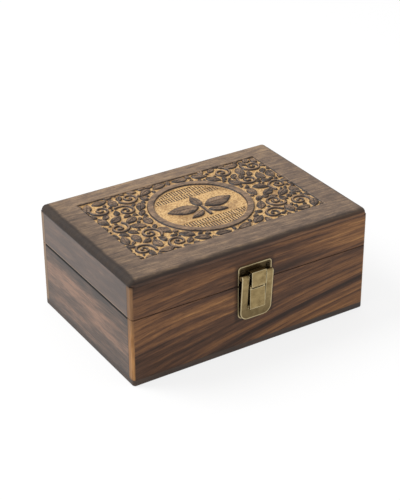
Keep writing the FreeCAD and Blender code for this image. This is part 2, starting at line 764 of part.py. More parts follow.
def make_screws():
    front = f"-{HALF_DEPTH} - plate_thickness"
    back = f"{HALF_DEPTH} + leaf_plate_thickness"
    screw_group("catch_screws", [(x, "base_height + catch_screw_rise") for x in LATCH_X], front, -1)
    screw_group("latch_base_screws", [(x, "base_height - base_screw_drop") for x in LATCH_X], front, -1)
    screw_group("hinge_lid_screws", [(x, f"{HINGE_HEIGHT} + hinge_screw_offset") for x in HINGE_X], back, 1)
    screw_group("hinge_base_screws", [(x, f"{HINGE_HEIGHT} - hinge_screw_offset") for x in HINGE_X], back, 1)


make_bottom_board()
make_base_boards()
make_dividers()
make_lid_boards()
make_top_board()
make_catch_plate()
make_latch_base_plate()
make_latch_lever()
make_latch_tongue()
make_tongue_pin()
make_lever_rivets()
hinge_bodies("left", "-1")
hinge_bodies("right", "1")
make_screws()
doc.recompute()

for obj in doc.Objects:
    if "Invalid" in obj.State or "Error" in obj.State:
        raise RuntimeError(f"{obj.Name} failed to build: {obj.State}")
for node in NODES:
    if node.Shape.isNull() or not node.Shape.isValid():
        raise RuntimeError(f"{node.Label} has no valid shape")

os.makedirs("parts", exist_ok=True)
for node in NODES:
    node.Shape.exportStep(f"parts/{node.Label}.step")
    print(node.Label, len(node.Shape.Solids), round(node.Shape.Volume, 2))
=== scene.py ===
import json
import math

import bpy
import numpy as np
from mathutils import Matrix, Vector

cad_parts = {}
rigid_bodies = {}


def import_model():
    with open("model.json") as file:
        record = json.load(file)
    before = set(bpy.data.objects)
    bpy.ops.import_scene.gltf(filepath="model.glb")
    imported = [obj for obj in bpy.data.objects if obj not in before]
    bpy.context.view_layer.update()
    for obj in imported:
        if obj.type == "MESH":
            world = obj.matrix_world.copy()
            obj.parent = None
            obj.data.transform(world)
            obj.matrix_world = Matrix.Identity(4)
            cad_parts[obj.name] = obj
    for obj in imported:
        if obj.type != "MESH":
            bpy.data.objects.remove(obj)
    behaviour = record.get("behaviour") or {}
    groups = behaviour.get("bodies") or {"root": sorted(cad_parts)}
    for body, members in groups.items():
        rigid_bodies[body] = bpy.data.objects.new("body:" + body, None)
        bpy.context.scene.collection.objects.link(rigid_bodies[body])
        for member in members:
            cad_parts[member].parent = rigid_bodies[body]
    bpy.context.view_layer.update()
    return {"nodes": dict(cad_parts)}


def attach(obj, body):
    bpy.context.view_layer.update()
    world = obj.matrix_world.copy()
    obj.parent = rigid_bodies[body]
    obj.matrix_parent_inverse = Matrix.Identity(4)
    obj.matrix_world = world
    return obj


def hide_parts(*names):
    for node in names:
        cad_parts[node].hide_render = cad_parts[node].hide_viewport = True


for item in list(bpy.data.objects):
    bpy.data.objects.remove(item)
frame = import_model()
nodes = frame["nodes"]

MM = 0.001

# Box, in millimetres
HALF_LENGTH = 120.0
HALF_DEPTH = 81.5
LID_UNDER = 96.0
LID_FACE = 102.0
LID_ROUND = 5.0
CARVE_DEPTH = 2.0
PANEL_LENGTH = 188.0
PANEL_DEPTH = 115.0
PANEL_SHIFT = 3.5
PANEL_MARGIN = 0.2

# Latch plates, in metres
LATCH_OFFSET = 0.0004
PLATE_HALF = 0.0171
PLATE_TOP = 0.0834
PLATE_END = 0.0323


# Node materials


def tint(red, green, blue):
    """A colour given in steps of 0 to 255, as linear light."""
    linear = [((v / 255 + 0.055) / 1.055) ** 2.4 for v in (red, green, blue)]
    return (*linear, 1.0)


class Wire:
    """A node output that can stand in a sum."""

    def __init__(self, shade, socket):
        self.shade = shade
        self.socket = socket

    def __add__(self, other):
        return self.shade.math("ADD", self, other)

    def __radd__(self, other):
        return self.shade.math("ADD", other, self)

    def __sub__(self, other):
        return self.shade.math("SUBTRACT", self, other)

    def __rsub__(self, other):
        return self.shade.math("SUBTRACT", other, self)

    def __mul__(self, other):
        return self.shade.math("MULTIPLY", self, other)

    def size(self):
        return self.shade.math("ABSOLUTE", self)

    def part(self):
        return self.shade.math("FRACT", self)

    def most(self, other):
        return self.shade.math("MAXIMUM", self, other)

    def fade(self, low, high):
        """0 at low and 1 at high, with a soft start and end."""
        node = self.shade.node("ShaderNodeMapRange", interpolation_type="SMOOTHSTEP")
        self.shade.put(node.inputs["Value"], self)
        node.inputs["From Min"].default_value = low
        node.inputs["From Max"].default_value = high
        return Wire(self.shade, node.outputs["Result"])


class Shade:
    """A node material, with short ways to make and join its nodes."""

    def __init__(self, name):
        self.material = bpy.data.materials.new(name)
        self.material.use_nodes = True
        self.tree = self.material.node_tree
        self.tree.nodes.clear()

    def node(self, kind, **settings):
        made = self.tree.nodes.new(kind)
        for key, setting in settings.items():
            setattr(made, key, setting)
        return made

    def put(self, socket, value):
        if isinstance(value, Wire):
            self.tree.links.new(value.socket, socket)
        else:
            socket.default_value = value

    def math(self, operation, first, second=0.0):
        made = self.node("ShaderNodeMath", operation=operation)
        self.put(made.inputs[0], first)
        self.put(made.inputs[1], second)
        return Wire(self, made.outputs[0])

    def axes(self, output="Object"):
        """The three parts of a coordinate fixed to the piece."""
        place = self.node("ShaderNodeTexCoord")
        split = self.node("ShaderNodeSeparateXYZ")
        self.tree.links.new(place.outputs[output], split.inputs[0])
        return [Wire(self, split.outputs[i]) for i in range(3)]

    def noise(self, x, y, z, detail=2.0, roughness=0.5):
        """Cloudy noise about 0.5, one cloud to a step of 1 in x, y and z."""
        joined = self.node("ShaderNodeCombineXYZ")
        for socket, value in zip(joined.inputs, (x, y, z)):
            self.put(socket, value)
        made = self.node("ShaderNodeTexNoise")
        self.tree.links.new(joined.outputs[0], made.inputs["Vector"])
        made.inputs["Scale"].default_value = 1.0
        made.inputs["Detail"].default_value = detail
        made.inputs["Roughness"].default_value = roughness
        return Wire(self, made.outputs["Fac"])

    def ramp(self, value, *stops):
        """A colour that passes through (place, colour) stops."""
        made = self.node("ShaderNodeValToRGB")
        self.put(made.inputs[0], value)
        elements = made.color_ramp.elements
        while len(elements) < len(stops):
            elements.new(0.5)
        for element, (place, colour) in zip(elements, stops):
            element.position = place
            element.color = colour
        return Wire(self, made.outputs[0])

    def mix(self, amount, first, second):
        made = self.node("ShaderNodeMix", data_type="RGBA")
        self.put(made.inputs[0], amount)
        self.put(made.inputs[6], first)
        self.put(made.inputs[7], second)
        return Wire(self, made.outputs[2])

    def bump(self, height, strength, distance):
        made = self.node("ShaderNodeBump")
        made.inputs["Strength"].default_value = strength
        made.inputs["Distance"].default_value = distance
        self.put(made.inputs["Height"], height)
        return Wire(self, made.outputs[0])

    def finish(self, colour, roughness, normal=None, metallic=0.0, specular=0.5):
        surface = self.node("ShaderNodeBsdfPrincipled")
        self.put(surface.inputs["Base Color"], colour)
        self.put(surface.inputs["Roughness"], roughness)
        surface.inputs["Metallic"].default_value = metallic
        surface.inputs["Specular IOR Level"].default_value = specular
        if normal is not None:
            self.put(surface.inputs["Normal"], normal)
        output = self.node("ShaderNodeOutputMaterial")
        self.tree.links.new(surface.outputs[0], output.inputs[0])
        return self.material


# Wood, with places in metres

SCORCH = tint(30, 21, 16)
BARE = (
    (0.1, tint(132, 92, 58)),
    (0.9, tint(196, 150, 100)),
)
STREAKED = (
    (0.1, tint(48, 32, 23)),
    (0.5, tint(88, 60, 43)),
    (0.78, tint(126, 87, 56)),
    (1.0, tint(160, 116, 72)),
)
DULL = (
    (0.05, tint(50, 38, 31)),
    (0.5, tint(87, 67, 54)),
    (0.95, tint(134, 101, 80)),
)
LID_WOOD = (
    (0.05, tint(64, 49, 39)),
    (0.5, tint(105, 84, 67)),
    (0.95, tint(148, 121, 92)),
)
RELIEF_WOOD = (
    (0.1, tint(44, 32, 25)),
    (0.95, tint(150, 120, 92)),
)
FRESH_CUT = (
    (0.33, tint(96, 64, 35)),
    (0.45, tint(190, 148, 94)),
    (0.68, tint(226, 192, 134)),
)
PORE_DEPTH = 0.0002


class Grain:
    """Long-grained wood, from places along the grain, across it and into the board."""

    # How far the figure wanders, in long and short waves, and yearly rings to a metre
    WARP = 0.014
    RIPPLE = 0.0022
    YEARS = 150.0

    def __init__(self, shade, along, across, inward):
        warp = shade.noise(along * 4.0, across * 16.0, inward * 16.0)
        across = across + (warp - 0.5) * self.WARP
        ripple = shade.noise(along * 22.0, across * 70.0, inward * 40.0)
        across = across + (ripple - 0.5) * self.RIPPLE
        self.shade = shade
        self.broad = shade.noise(along * 3.4, across * 80.0, inward * 40.0)
        self.streak = shade.noise(along * 13.0, across * 300.0, inward * 150.0, 3.0, 0.6)
        self.fine = shade.noise(along * 70.0, across * 900.0, inward * 500.0, 2.0, 0.6)
        year = (across * self.YEARS + (self.broad - 0.5) * 2.2).part()
        self.late = year.fade(0.35, 0.9) * (1.0 - year.fade(0.92, 1.0))
        pores = shade.noise(along * 150.0, across * 3000.0, inward * 1500.0, 1.0)
        self.pores = pores.fade(0.6, 0.72)

    def tone(self, broad, streak, fine, late):
        """About 0 for the darkest wood and 1 for the lightest, from each figure's strength."""
        wide = (self.broad - 0.5) * broad + (self.streak - 0.5) * streak
        return wide + (self.fine - 0.5) * fine - (self.late - 0.3) * late + 0.5

    def bare(self):
        """Colour of wood that is neither stained nor scorched."""
        return self.shade.ramp(self.tone(1.2, 1.0, 0.6, 0.2), *BARE)

    def bump(self, strength):
        height = self.streak * 0.5 + self.fine * 0.4 - self.pores * 0.6
        return self.shade.bump(height, strength, PORE_DEPTH)


def smudge(shade, x, y, z):
    """Uneven edge for scorched parts, about -1 to 1."""
    return (shade.noise(x * 26.0, y * 26.0, z * 60.0, 3.0, 0.6) - 0.5) * 3.0


def long_board_wood(name):
    """Front and back boards: streaked, flame-darkened, pale on the corners and cut ends, with
    painted shadow round the latch plates.
    """
    shade = Shade(name)
    x, y, z = shade.axes()
    nx, ny = shade.axes("Normal")[:2]
    lean = (x + 0.02) * 0.22 * (1.1 - z * 11.0)
    across = z - lean
    grain = Grain(shade, x, across, y)
    tone = grain.tone(1.4, 1.0, 0.5, 0.14) + board_bands(x, z, across, grain)
    colour = shade.mix(grain.pores * 0.5, shade.ramp(tone, *STREAKED), SCORCH)
    char = smudge(shade, x, y, z)
    low = (z + char * 0.003).fade(0.0085, 0.003)
    high = (z + char * 0.002).fade(0.0935, 0.0965)
    seam = (z - 0.0651).size().fade(0.0008, 0.0004) * ny.size().fade(0.3, 0.6)
    outer_front = (ny * -1.0).fade(0.5, 0.8) * y.fade(-0.07, -0.08)
    # Painted contact shadow on the front round the latch plates, mixed below into the scorch
    # mask and drawn in the scorch colour.
    latch_shadow = (beside_latch(x, z) + char * 0.0008).fade(0.0045, 0.0005) * outer_front
    burnt = low.most(high * 0.6).most(seam * 0.8).most(latch_shadow * 0.75) * 0.8
    colour = shade.mix(burnt, colour, SCORCH)
    rubbed = (nx.size() + char * 0.08).fade(0.2, 0.6) * (1.0 - burnt)
    colour = shade.mix(rubbed, colour, end_grain(shade, x, y, z, char))
    inner = (ny * y).fade(-0.02, -0.05)
    colour = shade.mix(inner, colour, grain.bare())
    rough = 0.4 + grain.streak * 0.16
    return shade.finish(colour, rough, grain.bump(0.25), specular=0.22)


def board_bands(x, z, across, grain):
    """Light and dark bands that a long board has in one place only."""
    swell = across + (grain.streak - 0.5) * 0.006
    right = x.fade(-0.03, 0.05)
    pale_foot = swell.fade(0.0085, 0.004) * right * 0.22
    dark_line = swell.fade(0.007, 0.0095) * (1.0 - swell.fade(0.012, 0.019)) * right * 0.3
    pale_end = x.fade(0.02, 0.115) * z.fade(0.064, 0.074) * 0.24
    return pale_foot - dark_line + pale_end + x.fade(0.0, 0.11) * 0.07


def beside_latch(x, z):
    """How far a place on the front lies outside the latch plates."""
    return ((x - LATCH_OFFSET).size() - PLATE_HALF).most(z - PLATE_TOP).most(PLATE_END - z)


def end_grain(shade, x, y, z, char):
    """Cut ends of the long boards: brightest low down at the front corners, dull at the back."""
    lines = shade.noise(x * 300.0, y * 900.0, z * 60.0)
    upper = shade.ramp(lines, (0.25, tint(112, 80, 52)), (0.75, tint(142, 106, 72)))
    lower = shade.ramp(lines, (0.25, tint(124, 84, 48)), (0.75, tint(188, 138, 86)))
    pale = shade.mix((z + char * 0.008).fade(0.044, 0.066), lower, upper)
    pale = shade.mix(y.fade(-0.0802, -0.0758) * 0.35, pale, tint(96, 68, 46))
    return shade.mix(y.fade(-0.02, 0.02), pale, tint(132, 110, 90))


def side_board_wood(name):
    """Left and right boards: duller and more even, with a waxy sheen."""
    shade = Shade(name)
    x, y, z = shade.axes()
    nx = shade.axes("Normal")[0]
    grain = Grain(shade, y, z + y * 0.03, x)
    blotch = shade.noise(x * 30.0, y * 12.0, z * 64.0, 4.0, 0.7)
    middle = (z - 0.036).size().fade(0.026, 0.002) * 0.3 - 0.14
    tone = grain.tone(0.5, 1.2, 1.0, 0.0) + (blotch - 0.5) * 2.0 + middle
    colour = shade.ramp(tone, *DULL)
    # Painted reflection: grey mixed into the lid's part of the side boards stands for the sheen
    # it shows.
    lid_reflection = z.fade(0.066, 0.0665) * 0.45
    colour = shade.mix(lid_reflection, colour, tint(100, 86, 79))
    colour = shade.mix(grain.pores * 0.4, colour, SCORCH)
    char = smudge(shade, x, y, z)
    low = (z + char * 0.004).fade(0.0095, 0.004)
    high = (z + char * 0.002).fade(0.0945, 0.0965)
    joint = y.size().fade(0.0728, 0.0742) * 0.7
    burnt = low.most(high).most(joint) * 0.85
    colour = shade.mix(burnt, colour, SCORCH)
    seam = (z - 0.0644).size().fade(0.0014, 0.0009) * nx.size().fade(0.3, 0.6)
    colour = shade.mix(seam, colour, tint(8, 6, 5))
    # Painted highlight: a light line just above the seam, where the lid's chamfer catches light.
    chamfer_highlight = z.fade(0.0652, 0.0655) * z.fade(0.0669, 0.0663) * 0.5
    colour = shade.mix(chamfer_highlight, colour, tint(150, 126, 104))
    inner = (nx * x).fade(-0.02, -0.06)
    colour = shade.mix(inner, colour, grain.bare())
    rough = 0.36 + grain.streak * 0.14 + seam * 0.4
    return shade.finish(colour, rough, grain.bump(0.25), specular=0.5)


def divider_wood(name, along_x):
    """Bare wood of the dividers."""
    shade = Shade(name)
    x, y, z = shade.axes()
    grain = Grain(shade, x, z, y) if along_x else Grain(shade, y, z, x)
    colour = shade.mix(grain.pores * 0.4, grain.bare(), tint(96, 64, 38))
    return shade.finish(colour, 0.55, grain.bump(0.2), specular=0.4)


def bottom_wood(name):
    """The bottom board: scorched outside, bare inside the box."""
    shade = Shade(name)
    x, y, z = shade.axes()
    nz = shade.axes("Normal")[2]
    grain = Grain(shade, x, y, z)
    char = smudge(shade, x, y, z)
    tone = grain.tone(0.8, 0.8, 0.6, 0.1) + char * 0.15 + z.fade(0.003, 0.006) * 0.15
    colour = shade.ramp(tone, (0.2, SCORCH), (0.85, tint(74, 53, 38)))
    colour = shade.mix(nz.fade(0.6, 0.9), colour, grain.bare())
    return shade.finish(colour, 0.45, grain.bump(0.2), specular=0.4)


def carved_wood(name):
    """The lid's top: darkened face and relief, burnt cuts and pale fresh-cut ground."""
    shade = Shade(name)
    x, y, z = shade.axes()
    ny, nz = shade.axes("Normal")[1:]
    grain = Grain(shade, x, y + x * 0.03, z)
    char = smudge(shade, x, y, z * 0.2)
    speck = shade.noise(x * 520.0, y * 520.0, z * 300.0, 3.0, 0.7)
    mottle = shade.noise(x * 70.0, y * 190.0, z * 100.0, 3.0, 0.65)
    worn = (speck - 0.5) * 0.5 + (mottle - 0.5) + y.fade(0.03, 0.075) * 0.2
    tone = grain.tone(0.4, 0.7, 1.3, 0.06) + worn
    face = shade.mix(grain.pores * 0.5, shade.ramp(tone, *LID_WOOD), tint(52, 39, 30))
    burnt = burnt_edges(x, y, char)
    face = shade.mix(burnt, face, SCORCH)
    face = shade.mix(ny.size().fade(0.5, 0.9), face, lid_edge(shade, x, y, z, char))
    rise = (z - (LID_FACE - CARVE_DEPTH) * MM) * (1 / (CARVE_DEPTH * MM))
    patch = shade.noise(x * 130.0, y * 130.0, z * 130.0)
    # Painted light on the relief: its highest parts and up-facing slopes are lightened as
    # highlights, the rest darkened as shade.
    lit = rise.fade(0.7, 1.0) * 0.4 + nz.fade(0.6, 0.98) * 0.1 - 0.42
    relief = shade.ramp(tone + (patch - 0.5) * 0.9 + lit, *RELIEF_WOOD)
    ground = carved_ground(shade, x, y, z, rise, speck)
    carved = shade.mix(rise.fade(0.45, 0.75), ground, relief)
    beyond_ends = x.size() - (PANEL_LENGTH / 2 + PANEL_MARGIN) * MM
    beyond_sides = (y - PANEL_SHIFT * MM).size() - (PANEL_DEPTH / 2 + PANEL_MARGIN) * MM
    inside = beyond_ends.most(beyond_sides).fade(0.0003, -0.0003)
    colour = shade.mix(inside, face, carved)
    colour = shade.mix(nz.fade(-0.75, -0.95), colour, grain.bare())
    rough = 0.4 + grain.streak * 0.16 + burnt * 0.3
    return shade.finish(colour, rough, grain.bump(0.22), specular=0.45)


def burnt_edges(x, y, char):
    """Scorch round the lid's face: wide on the left, narrow on the other edges."""
    from_left = x + HALF_LENGTH * MM
    left = (from_left + char * 0.0022).fade(0.0095, 0.0045)
    left = left.most((from_left + char * 0.004).fade(0.03, 0.0) * 0.35)
    front = (y + HALF_DEPTH * MM + char * 0.0016).fade(0.0055, 0.002)
    right = (HALF_LENGTH * MM - x + char * 0.0016).fade(0.005, 0.0015)
    back = (HALF_DEPTH * MM - y + char * 0.0016).fade(0.005, 0.0015)
    return left.most(front * 0.8).most(right * 0.8).most(back * 0.6) * 0.9


def lid_edge(shade, x, y, z, char):
    """Upright front and back edges of the top board, streaked like the boards below."""
    grain = Grain(shade, x, z, y)
    tone = grain.tone(1.5, 1.1, 0.5, 0.1) + x.fade(0.02, 0.115) * 0.24
    charred = (z + char * 0.0013).fade(0.0974, 0.0992)
    return shade.mix(charred * 0.75, shade.ramp(tone, *STREAKED), SCORCH)


def carved_ground(shade, x, y, z, rise, speck):
    """Fresh-cut wood at the foot of the relief, dark in its grooves, with painted shade close to
    the relief, and burnt up the cuts.
    """
    ground = shade.ramp(speck, *FRESH_CUT)
    stain = shade.noise(x * 60.0, y * 60.0, z * 60.0, 3.0)
    ground = shade.mix(stain.fade(0.48, 0.7) * 0.65, ground, tint(124, 88, 52))
    ground = shade.mix(z.fade(0.0998, 0.0995), ground, tint(46, 29, 16))
    # Painted shade on the ground where it meets the relief, read from the slight rise there.
    ground = shade.mix(rise.fade(0.05, 0.18) * 0.7, ground, tint(96, 65, 38))
    return shade.mix(rise.fade(0.16, 0.34), ground, tint(32, 21, 15))


# Metal


def brass(name, low, high, roughness, board_shade=0.5, rim=None):
    """Aged brass, blotched and lightly brushed, with painted shade close to the boards.

    A rim gives half the width of a plate, its lower end and its corner radius.
    The plate's edge is then painted bright, for wear and as a painted highlight."""
    shade = Shade(name)
    x, y, z = shade.axes()
    cloud = shade.noise(x * 160.0, y * 160.0, z * 160.0, 4.0, 0.6)
    brush = shade.noise(x * 500.0, y * 500.0, z * 6000.0)
    colour = shade.ramp(cloud * 0.7 + brush * 0.3, (0.3, low), (0.7, high))
    # Painted shade: brass close to the boards is darkened.
    shade_near_board = y.size().fade(0.0868, 0.0836) * board_shade
    colour = shade.mix(shade_near_board, colour, tint(58, 47, 32))
    if rim:
        half, end, corner = rim
        aside = ((x - LATCH_OFFSET).size() - (half - corner)).most(0.0)
        beyond = (end + corner - z).most(z - (PLATE_TOP - corner)).most(0.0)
        away = shade.math("SQRT", aside * aside + beyond * beyond)
        # Bright plate edge: partly wear, partly a painted highlight of the edge catching light.
        edge = (away + (cloud - 0.5) * 0.0006).fade(corner - 0.0013, corner - 0.0005)
        colour = shade.mix(edge * 0.85, colour, tint(206, 188, 146))
    rough = roughness + cloud * 0.16
    return shade.finish(colour, rough, shade.bump(brush, 0.06, 0.0001), metallic=1.0)


# Carved relief of the lid, in millimetres

RING_OUTER = 47.5
RING_INNER = 41.5
SHOULDER = 0.6
SEED = 11

# Grid of the panel: its step, and the narrow step that makes its upright walls.
STEP = 0.42
WALL = 0.12

# Main leaves: shares of the panel's half sizes from its centre, and the lean in degrees.
LEAVES = (
    (-0.94, 0.33, 100),
    (-0.94, -0.35, 80),
    (-0.70, -0.05, 150),
    (-0.49, 0.47, 240),
    (-0.68, 0.80, 90),
    (-0.31, 0.84, 210),
    (-0.71, -0.66, 90),
    (-0.53, -0.38, 295),
    (-0.31, -0.87, 150),
    (-0.81, 0.30, 30),
    (-0.83, -0.38, 270),
    (-0.57, 0.03, 90),
    (-0.94, 0.84, 60),
    (-0.13, 0.91, 12),
    (-0.70, -0.90, 180),
    (-0.40, -0.66, 135),
    (-0.10, -0.91, 350),
    (-0.70, 0.16, 210),
    (-0.79, 0.90, 0),
)
LEAF_LENGTH = 15.5
LEAF_WIDTH = 8.4
LEAF_BEND = 0.16
LEAF_TOP = 0.93

# Curls: the same shares, where the coil starts in degrees and which way it winds.
CURLS = (
    (-0.85, 0.66, 250, 1),
    (-0.64, 0.47, 20, -1),
    (-0.87, 0.02, 300, -1),
    (-0.68, -0.35, 60, 1),
    (-0.88, -0.73, 80, 1),
    (-0.54, -0.78, 140, -1),
    (-0.50, 0.80, 300, 1),
)
HALVES = (1, -1)

# Coil of a curl: its tail flares out, and the rest sweeps round by radians as it shrinks.
CURL_POINTS = 44
CURL_TAIL = 0.2
CURL_FLARE = 26
CURL_LEAD = 1.9
CURL_SWEEP = 9.6
CURL_RADIUS = 7.2
CURL_SHRINK = 7.344
CURL_WIDTH = 2.5
CURL_END = 2.6
CURL_TOP = 0.95

# Small leaves and flowers: length, places tried and clear space round each.
FILLERS = (
    (10.5, 1500, 1.2),
    (8, 2600, 1.3),
    (6, 3600, 1.4),
    (4.2, 2600, 1.5),
)
PETALS = 5

# Hatched bands inside the ring: how far up or down each begins and ends.
HATCHING = (
    (20.5, 28.0),
    (29.2, 38.0),
)
HATCH_PITCH = 2.7
HATCH_LINE = 0.55
HATCH_CUT = -0.4


class Relief:
    """Raised shapes on a grid: 0 is the ground and 1 the lid's face."""

    def __init__(self):
        along = np.linspace(-PANEL_LENGTH / 2, PANEL_LENGTH / 2, int(PANEL_LENGTH / STEP))
        deep = np.linspace(-PANEL_DEPTH / 2, PANEL_DEPTH / 2, int(PANEL_DEPTH / STEP))
        for line in (along, deep):
            line[1] = line[0] + WALL
            line[-2] = line[-1] - WALL
        self.along = along
        self.deep = deep
        self.x, self.y = np.meshgrid(along, deep, indexing="ij")
        self.lift = np.zeros_like(self.x)
        self.radius = np.hypot(self.x, self.y)

    def window(self, x, y, reach):
        first, last = np.searchsorted(self.along, (x - reach, x + reach))
        low, high = np.searchsorted(self.deep, (y - reach, y + reach))
        return slice(first, last), slice(low, high)

    def raise_to(self, spot, lift):
        self.lift[spot] = np.maximum(self.lift[spot], lift)

    def bar(self, points, widths, top=1.0):
        """A rounded bar along a line of points."""
        starts = zip(points, widths)
        ends = zip(points[1:], widths[1:])
        for (start, wide), (end, narrow) in zip(starts, ends):
            middle = (start + end) / 2
            reach = np.hypot(*(end - start)) / 2 + wide + narrow
            spot = self.window(middle[0], middle[1], reach)
            dx, dy = end - start
            px = self.x[spot] - start[0]
            py = self.y[spot] - start[1]
            part = np.clip((px * dx + py * dy) / max(dx * dx + dy * dy, 1e-9), 0, 1)
            half = (wide + (narrow - wide) * part) / 2
            inside = half - np.hypot(px - part * dx, py - part * dy)
            self.raise_to(spot, top * shoulder(inside))

    def leaf(self, x, y, angle, length, width, bend, top=1.0, gap=None):
        """A leaf about its middle, left out where a gap is given and isn't free."""
        spot = self.window(x, y, length * 0.75)
        px = self.x[spot] - x
        py = self.y[spot] - y
        inside, lift = leaf_shape(px, py, angle, length, width, bend)
        if gap is None or self.fits(spot, inside, gap):
            self.raise_to(spot, lift * top)

    def flower(self, x, y, angle, size, gap):
        """A flower about its middle, left out where the gap round it isn't free."""
        spot = self.window(x, y, size * 1.2)
        inside, lift = flower_shape(self.x[spot] - x, self.y[spot] - y, angle, size)
        if self.fits(spot, inside, gap):
            self.raise_to(spot, lift)

    def fits(self, spot, inside, gap):
        claim = inside > -gap
        return claim.sum() > 8 and (self.lift[spot][claim] > 0.15).mean() <= 0.05


def shoulder(inside):
    """Height of a carved shape from the depth inside its outline."""
    return np.clip(inside / SHOULDER + 0.3, 0, 1) ** 0.8


def turned(x, y, angle):
    c, s = math.cos(angle), math.sin(angle)
    return x * c + y * s, y * c - x * s


def leaf_shape(x, y, angle, length, width, bend):
    """Depth inside a bent leaf, and its height with a cut midrib and side veins."""
    u, v = turned(x, y, angle)
    u = u / length * 2
    v = v - bend * length / 2 * (u * u - 0.3)
    half = width / 2 * (1 - u * u) * (1 - 0.22 * u)
    inside = half - np.abs(v)
    inside = np.where(np.abs(u) > 1, -9.0, inside)
    midrib = np.clip(1 - np.abs(v) / 0.5, 0, 1) * (u > -0.95) * (u < 0.75)
    pitch = 3.2 if length > 12 else 2.4
    slant = ((u * length / 2 - np.abs(v) * 0.9) / pitch) % 1.0
    side = np.clip(1 - np.abs(slant - 0.5) * pitch / 0.45, 0, 1) * (half > 2.2)
    dome = 0.7 + 0.3 * np.sqrt(np.clip(inside / (width * 0.4), 0, 1))
    return inside, shoulder(inside) * dome * (1 - 0.45 * midrib - 0.2 * side * (1 - midrib))


def flower_shape(x, y, angle, size):
    """Depth inside a flower with round petals, and its height."""
    u, v = turned(x, y, angle)
    radius = np.hypot(u, v)
    turn = np.arctan2(v, u)
    rim = size * (0.66 + 0.34 * np.abs(np.cos(turn * PETALS / 2)) ** 0.8)
    inside = (rim - radius) * 0.8
    eye = np.clip(1 - np.abs(radius - size * 0.3) / 0.5, 0, 1)
    return inside, shoulder(inside) * (1 - 0.45 * eye)


def carve_lid():
    """The finished relief, and its heights above the lid's face."""
    relief = Relief()
    rng = np.random.default_rng(SEED)
    ring = shoulder(np.minimum(RING_OUTER - relief.radius, relief.radius - RING_INNER))
    relief.lift = np.where(relief.radius > RING_INNER - 1, ring, 0)
    carve_foliage(relief, rng)
    relief.lift[relief.radius < RING_INNER - 0.6] = 0
    carve_sprig(relief)
    carve_hatching(relief)
    wave = np.sin(relief.x * 2.9 + 1.5 * np.sin(relief.y * 1.3))
    chisel_marks = 0.08 * wave * np.sin(relief.y * 3.1)
    # The ground rises a little at the foot of the relief, where the lid's colour by height
    # paints shade.
    foot = spread(spread(np.maximum(relief.lift, 0)).T).T
    low = relief.lift < 0.1
    footed = np.maximum(relief.lift, foot * 0.3)
    lift = np.where(low & (relief.lift >= 0), footed, relief.lift)
    heights = (lift - 1) * CARVE_DEPTH + chisel_marks * low
    return relief, heights


def spread(lift):
    """Mean of a height with its neighbours, along the first axis."""
    padded = np.pad(lift, ((3, 3), (0, 0)), mode="edge")
    return sum(padded[k:k + len(lift)] for k in range(7)) / 7


def carve_foliage(relief, rng):
    """Leaves and curls in two halves, with small leaves and flowers in the gaps."""
    for half in HALVES:
        place = np.array((PANEL_LENGTH, PANEL_DEPTH)) * half / 2
        about = 0.0 if half > 0 else 180.0
        for across, up, lean in LEAVES:
            x, y = place * (across, up)
            angle = math.radians(lean + about)
            bend = rng.uniform(-LEAF_BEND, LEAF_BEND)
            relief.leaf(x, y, angle, LEAF_LENGTH, LEAF_WIDTH, bend, LEAF_TOP)
        for across, up, start, way in CURLS:
            carve_curl(relief, place * (across, up), math.radians(start + about), way)
    for size, tries, gap in FILLERS:
        for _ in range(tries):
            x = rng.uniform(-0.5, 0.5) * PANEL_LENGTH
            y = rng.uniform(-0.5, 0.5) * PANEL_DEPTH
            angle = rng.uniform(0, math.tau)
            kind = rng.uniform()
            bend = rng.uniform(-0.4, 0.4)
            if math.hypot(x, y) < RING_OUTER + 1:
                continue
            if kind < 0.75 or size > 9:
                relief.leaf(x, y, angle, size, size * 0.56, bend, 0.84 + 0.12 * kind, gap)
            else:
                relief.flower(x, y, angle, size * 0.45, gap)


def carve_curl(relief, middle, start, way):
    """A tapering coil with a round end."""
    part = np.linspace(0, 1, CURL_POINTS)
    swing = start + way * (part * CURL_SWEEP - CURL_LEAD)
    flare = CURL_FLARE * np.clip(CURL_TAIL - part, 0, 1) ** 1.2
    radius = CURL_RADIUS + flare - CURL_SHRINK * np.clip(part - CURL_TAIL, 0, 1)
    points = middle + np.stack([radius * np.cos(swing), radius * np.sin(swing)], -1)
    relief.bar(points, CURL_WIDTH - part, CURL_TOP)
    relief.bar(points[-2:], [CURL_END, CURL_END])


def carve_sprig(relief):
    """Two big leaves, an upright bud, two low leaves and a stem in the ring."""
    for side in (-1, 1):
        turn = 0.0 if side > 0 else math.pi
        relief.leaf(side * 18.0, 0.0, turn + side * 0.14, 30.5, 15.6, side * 0.05)
        relief.leaf(side * 10.5, -13.0, turn - side * 0.44, 18.5, 7.8, side * 0.08)
    relief.leaf(0.0, 9.0, math.pi / 2, 20.5, 9.4, 0.0)
    stem = np.array([(0.0, -2.0), (0.0, -10.0), (0.0, -17.0)])
    relief.bar(stem, [2.2, 2.4, 2.8])


def carve_hatching(relief):
    """Ladders of short upright strokes cut into the ground above and below the sprig."""
    free = (relief.radius < RING_INNER - 1.5) & (relief.lift < 0.05)
    bow = 0.004 * (30.0 - relief.x ** 2 / 20.0) * np.sign(relief.y)
    height = np.abs(relief.y) - bow
    for low, high in HATCHING:
        row = free & (height > low) & (height < high)
        stroke = (relief.x / HATCH_PITCH + low) % 1.0
        line = np.minimum(height - low, high - height) < HATCH_LINE
        relief.lift[row & ((stroke < 0.46) | line)] = HATCH_CUT


